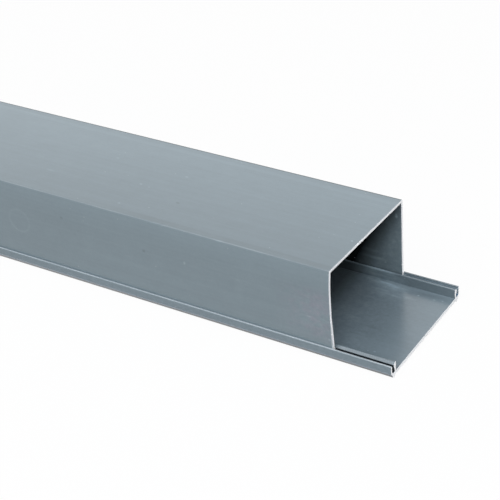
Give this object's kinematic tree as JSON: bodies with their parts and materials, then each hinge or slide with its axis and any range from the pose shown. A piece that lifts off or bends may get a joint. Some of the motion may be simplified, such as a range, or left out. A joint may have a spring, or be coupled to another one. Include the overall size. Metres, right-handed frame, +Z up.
{
  "type": "cord cover raceway",
  "caption": "Straight deep cable raceway: a grooved base strip and a clip-on channel cover that slides back along it to show the base's end.",
  "frame": {"origin": "under the middle of the overall box of both pieces, on the level that the base's two edge feet stand on", "axes": "+X along the length to the end where the base shows past the cover, +Y across to the far edge, +Z up from the base's feet to the cover's flat top"},
  "size_m": [1.0434, 0.1028, 0.0697],
  "materials": {
    "base_plastic": "grey-blue extruded PVC with a semi-matt skin",
    "cover_plastic": "grey-blue extruded PVC with a semi-matt skin"
  },
  "bodies": {
    "base": {"raceway_base": "base_plastic"},
    "cover": {"raceway_cover": "cover_plastic"}
  },
  "joints": [
    {"name": "cover_slide", "type": "slide", "parent": "base", "child": "cover", "axis": [1, 0, 0], "range_m": [-0.4, 0.0435]}
  ]
}
